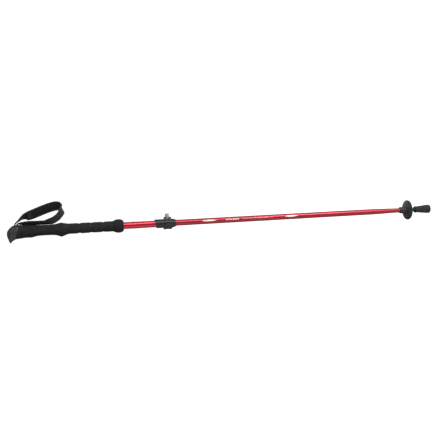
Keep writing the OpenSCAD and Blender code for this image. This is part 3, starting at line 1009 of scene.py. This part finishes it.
def wrapped_mark(points, faces, outline, angle, radius):
    """A thin raised patch of ink on the tube, its outline given as (along the girth, height) pairs."""
    base = len(points)
    rows = len(outline)
    columns = 7
    for lift in (0.045 * MM, 0.01 * MM):
        for half, z in outline:
            for i in range(columns):
                a = angle + half * (2 * i / (columns - 1) - 1) / radius
                points.append(((radius + lift) * math.cos(a), (radius + lift) * math.sin(a), z))
    sheet = rows * columns
    for k in range(rows - 1):
        for i in range(columns - 1):
            a = base + k * columns + i
            b = a + columns
            faces.append((a, a + 1, b + 1, b))
            faces.append((a + sheet, b + sheet, b + 1 + sheet, a + 1 + sheet))
    edge = [k * columns for k in range(rows)] + [(rows - 1) * columns + i for i in range(1, columns)]
    edge += [k * columns + columns - 1 for k in range(rows - 2, -1, -1)]
    edge += list(range(columns - 2, 0, -1))
    for a, b in zip(edge, edge[1:] + edge[:1]):
        faces.append((base + a, base + b, base + b + sheet, base + a + sheet))


def bar(low, high, half, taper):
    """Outline of a bar along the tube: tapered to fine ends, or square-ended."""
    steps = 28 if taper else 1
    rows = []
    for k in range(steps + 1):
        share = k / steps
        width = max(0.08 * MM, half * (1 - (2 * share - 1) ** 2)) if taper else half
        rows.append((width, low + (high - low) * share))
    return rows


def add_marks(material):
    """Plain printed marks on the lower tube: two tapered bars, a fine line and a row of plain blocks."""
    points, faces = [], []
    side = math.radians(-82)
    shapes = [bar(0.637, 0.678, 2.2 * MM, True), bar(0.407, 0.445, 2.2 * MM, True)]
    shapes.append(bar(0.480, 0.568, 0.3 * MM, False))
    for k in range(8):
        z = 0.5755 + 4.7 * MM * k
        shapes.append(bar(z, z + 3.1 * MM, 1.7 * MM, False))
    for shape in shapes:
        wrapped_mark(points, faces, shape, side, LOWER_R)
    marks = piece("printed_marks", points, faces, material, "lower")
    tidy(marks)
    return marks


# ---- stage ----

def add_camera():
    """Beside the pole, a little above its middle and rolled so that the pole lies across the picture."""
    data = bpy.data.cameras.new("camera")
    data.lens = 50
    data.sensor_width = 36
    camera = bpy.data.objects.new("camera", data)
    look_down = math.radians(12.8)
    roll = math.radians(-93.18)
    camera.matrix_world = (
        Matrix.Translation((0.0008, -1.6053, 0.9909))
        @ Matrix.Rotation(TAU / 4 - look_down, 4, "X")
        @ Matrix.Rotation(roll, 4, "Z")
    )
    bpy.context.scene.collection.objects.link(camera)
    bpy.context.scene.camera = camera


def add_light(name, place, target, size, radiance):
    """A soft panel of an even radiance that the camera itself doesn't see."""
    data = bpy.data.lights.new(name, "AREA")
    data.shape = "RECTANGLE"
    data.size, data.size_y = size
    data.energy = math.pi * size[0] * size[1] * radiance
    light = bpy.data.objects.new(name, data)
    light.location = place
    light.rotation_euler = (Vector(target) - Vector(place)).to_track_quat("-Z", "Y").to_euler()
    light.visible_camera = False
    bpy.context.scene.collection.objects.link(light)


def add_world(seen, thrown):
    """A room that looks white and throws a dimmer light on the pole."""
    world = bpy.data.worlds.new("studio")
    world.use_nodes = True
    nodes, links = world.node_tree.nodes, world.node_tree.links
    room = nodes["Background"]
    room.inputs["Color"].default_value = (1, 1, 1, 1)
    room.inputs["Strength"].default_value = thrown
    wall = nodes.new("ShaderNodeBackground")
    wall.inputs["Color"].default_value = (1, 1, 1, 1)
    wall.inputs["Strength"].default_value = seen
    choose = nodes.new("ShaderNodeMixShader")
    path = nodes.new("ShaderNodeLightPath")
    links.new(path.outputs["Is Camera Ray"], choose.inputs[0])
    links.new(room.outputs[0], choose.inputs[1])
    links.new(wall.outputs[0], choose.inputs[2])
    links.new(choose.outputs[0], nodes["World Output"].inputs["Surface"])
    bpy.context.scene.world = world
    bpy.context.scene.view_settings.view_transform = "Standard"


def add_studio(material):
    """A pale floor, and panels for the key light, the tip's light, the fill and the rim."""
    corners = [(-6, -1.3, 0), (6, -1.3, 0), (6, 8, 0), (-6, 8, 0)]
    piece("floor", corners, [(0, 1, 2, 3)], material, None)
    add_light("key", (0.42, -0.40, 0.62), (0, 0, 0.62), (0.28, 1.5), 4.2)
    add_light("key_low", (0.16, -0.15, 0.20), (0, 0, 0.24), (0.10, 0.5), 3.0)
    add_light("fill", (-0.95, -0.75, 0.70), (0, 0, 0.60), (0.7, 1.7), 0.9)
    add_light("rim", (0.5, 1.2, 0.8), (0, 0, 0.60), (0.9, 1.7), 1.2)
    add_world(1.05, 0.35)


# ---- the whole pole ----

def finish_node(name, material):
    """Gives a CAD node that keeps its own shape its material."""
    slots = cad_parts[name].data.materials
    slots.clear()
    slots.append(material)


def main():
    foam = foam_look()
    clamp = moulded_look("clamp_plastic", (0.010, 0.0115, 0.015), 0.36, 0.1)
    tip = moulded_look("tip_plastic", (0.015, 0.015, 0.0165), 0.52)
    inner = moulded_look("core_plastic", (0.08, 0.08, 0.085), 0.5)
    steel = metal_look("steel", (0.56, 0.56, 0.57), 0.28, (1, 1, 0.05))
    add_camera()
    add_studio(floor_look())
    add_head(head_look())
    add_foam_grip(foam)
    add_sleeve(foam)
    add_webbing(webbing_look())
    add_pad(lining_look())
    add_stitching(thread_look())
    add_collar(clamp)
    add_lever(clamp)
    add_basket(tip)
    add_foot(rubber_look())
    add_marks(ink_look())
    finish_node("upper_tube", red_look("red_gloss", (0.60, 0.012, 0.030), 0.24, 1.0, 0.35))
    finish_node("lower_tube", red_look("red_satin", (0.40, 0.022, 0.038), 0.34, 0.6, 0.5))
    finish_node("strap_wedge", clamp)
    finish_node("strap_pin", metal_look("dark_steel", (0.05, 0.05, 0.055), 0.42, (1, 0.05, 1)))
    for name in ("lever_pin", "tension_bolt", "bolt_washer", "tip_holder", "foot_disc"):
        finish_node(name, steel)
    for name in ("grip_core", "shaft_plug"):
        finish_node(name, inner)
    finish_node("thumb_nut", metal_look("nut_metal", (0.72, 0.69, 0.64), 0.3, (0.05, 1, 1)))
    finish_node("tip_ferrule", tip)
    finish_node("carbide_tip", metal_look("carbide", (0.28, 0.28, 0.30), 0.35, (1, 1, 1)))


main()
